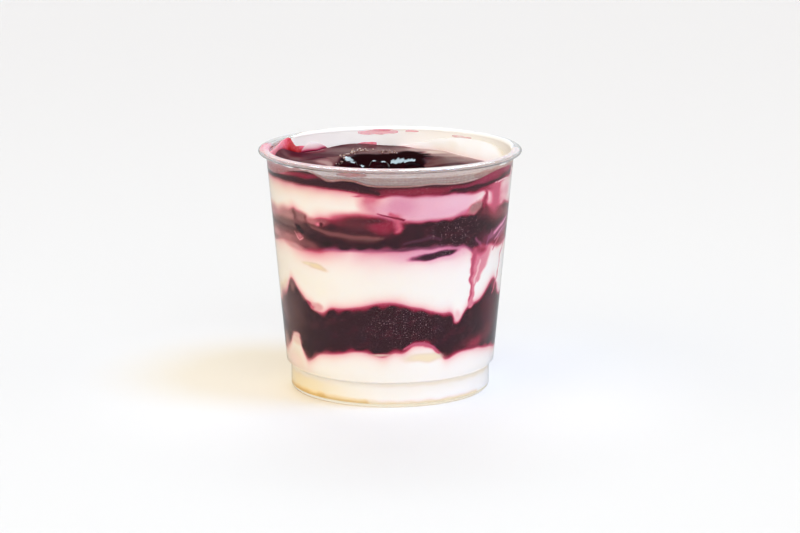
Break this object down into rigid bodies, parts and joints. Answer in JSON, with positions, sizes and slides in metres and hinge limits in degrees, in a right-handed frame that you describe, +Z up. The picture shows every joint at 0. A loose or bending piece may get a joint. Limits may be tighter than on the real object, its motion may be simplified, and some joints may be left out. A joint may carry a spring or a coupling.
{
  "type": "red berry cheesecake cup",
  "caption": "Clear squat dessert cup with a rounded lip, filled with wavy bands of cheesecake cream and dark berry compote, with berries sunk in the compote on top.",
  "frame": {"origin": "middle of the cup's foot, on the table", "axes": "+Z up along the cup's axis, -Y towards the cup's front, +X to its right seen from the front"},
  "size_m": [0.078, 0.078, 0.0722],
  "materials": {
    "clear_plastic": "clear moulded plastic, glossy",
    "cheesecake_cream": "smooth pale cream, satin, stained pink where the compote bleeds into it",
    "berry_compote": "very dark crimson fruit compote, glossy on its open surface",
    "glazed_berry": "near-black berry skin under wet glaze"
  },
  "bodies": {
    "root": {"cup": "clear_plastic", "cream_base": "cheesecake_cream", "compote_lower": "berry_compote", "cream_middle": "cheesecake_cream", "compote_middle": "berry_compote", "cream_upper": "cheesecake_cream", "compote_top": "berry_compote", "berry_1": "glazed_berry", "berry_2": "glazed_berry", "berry_3": "glazed_berry", "berry_4": "glazed_berry"}
  },
  "joints": []
}
